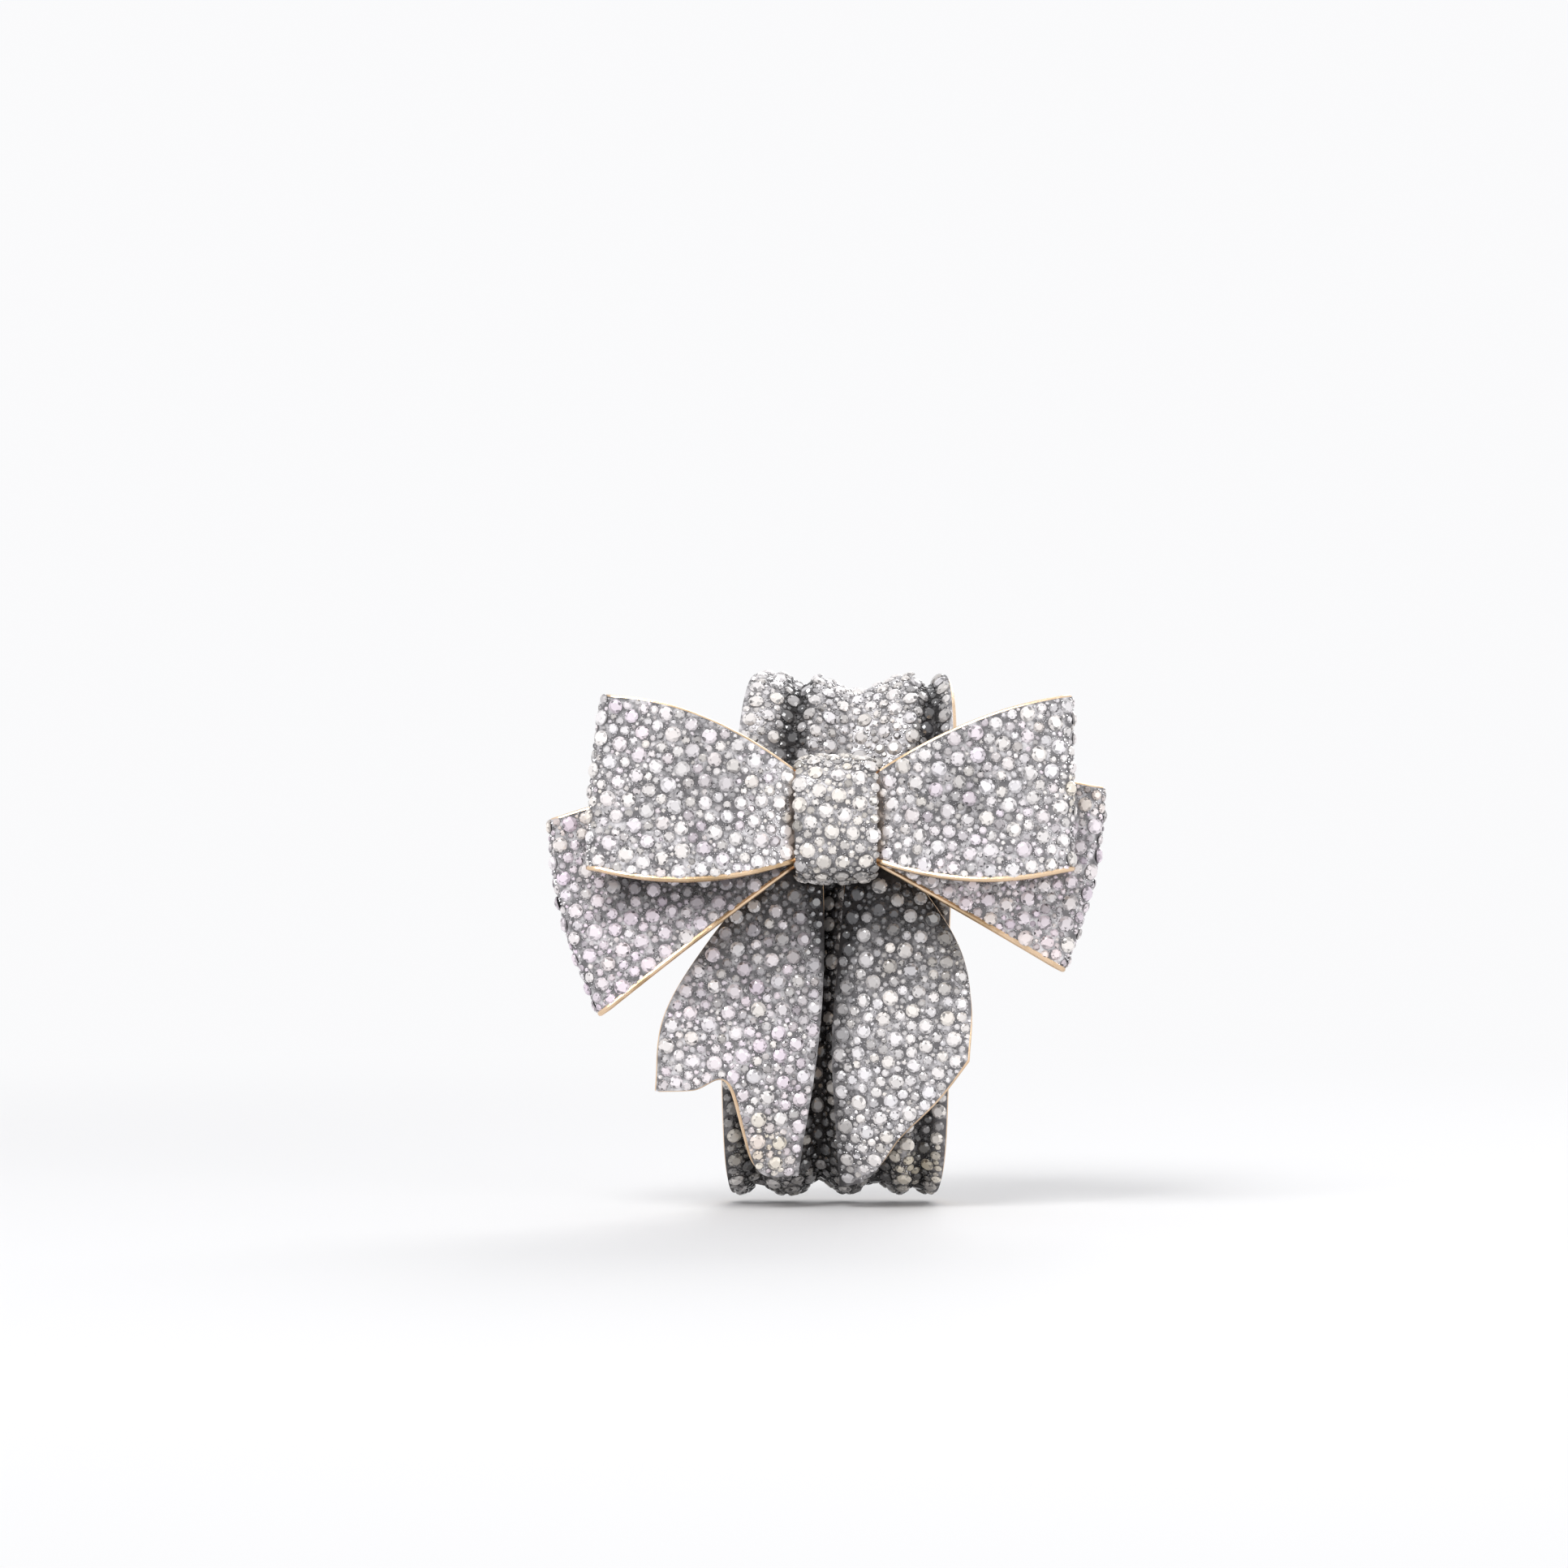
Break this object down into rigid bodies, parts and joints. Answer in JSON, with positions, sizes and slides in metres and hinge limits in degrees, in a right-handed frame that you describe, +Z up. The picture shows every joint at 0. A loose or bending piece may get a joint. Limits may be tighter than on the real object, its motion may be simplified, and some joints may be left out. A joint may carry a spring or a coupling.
{
  "type": "bow brooch",
  "caption": "Stone-set double ribbon bow brooch with two tails on a pleated saddle band, and a hinged pin with roll-over safety catch.",
  "frame": {"origin": "middle of the pin's round shaft, on its axis, with the pin closed", "axes": "+X along the pin from its hinge to its point, -Y out of the front of the bow, +Z up as worn"},
  "size_m": [0.0591, 0.0241, 0.0568],
  "materials": {
    "silver_plate": "bright silver-coloured plate over cast alloy",
    "gold_plate": "pale gold-coloured plate over brass",
    "clear_stone": "clear foil-backed cut glass stones",
    "pin_steel": "polished spring steel wire"
  },
  "bodies": {
    "bow": {"saddle_band": "silver_plate", "tail_left": "silver_plate", "tail_right": "silver_plate", "loop_rear_left": "silver_plate", "loop_rear_right": "silver_plate", "loop_front_left": "silver_plate", "loop_front_right": "silver_plate", "knot": "silver_plate", "centre_block": "gold_plate", "back_bar": "gold_plate", "bar_rivets": "gold_plate", "stud_washer": "gold_plate", "stud_nut": "gold_plate", "hinge_bracket": "gold_plate", "hinge_rivet": "gold_plate", "catch_bracket": "gold_plate", "stones_band_top": "clear_stone", "stones_band_bottom": "clear_stone", "stones_tail_left": "clear_stone", "stones_tail_right": "clear_stone", "stones_rear_left": "clear_stone", "stones_rear_right": "clear_stone", "stones_front_left": "clear_stone", "stones_front_right": "clear_stone", "stones_knot": "clear_stone"},
    "pin": {"pin_stem": "pin_steel"},
    "safety": {"safety_roller": "gold_plate"}
  },
  "joints": [
    {"name": "pin_hinge", "type": "hinge", "parent": "bow", "child": "pin", "pos_m": [-0.017, 0, 0], "axis": [0, 0, 1], "range_deg": [0, 100]},
    {"name": "safety_turn", "type": "hinge", "parent": "bow", "child": "safety", "pos_m": [0.017, 0, 0], "axis": [1, 0, 0], "range_deg": [-115, 0]}
  ]
}
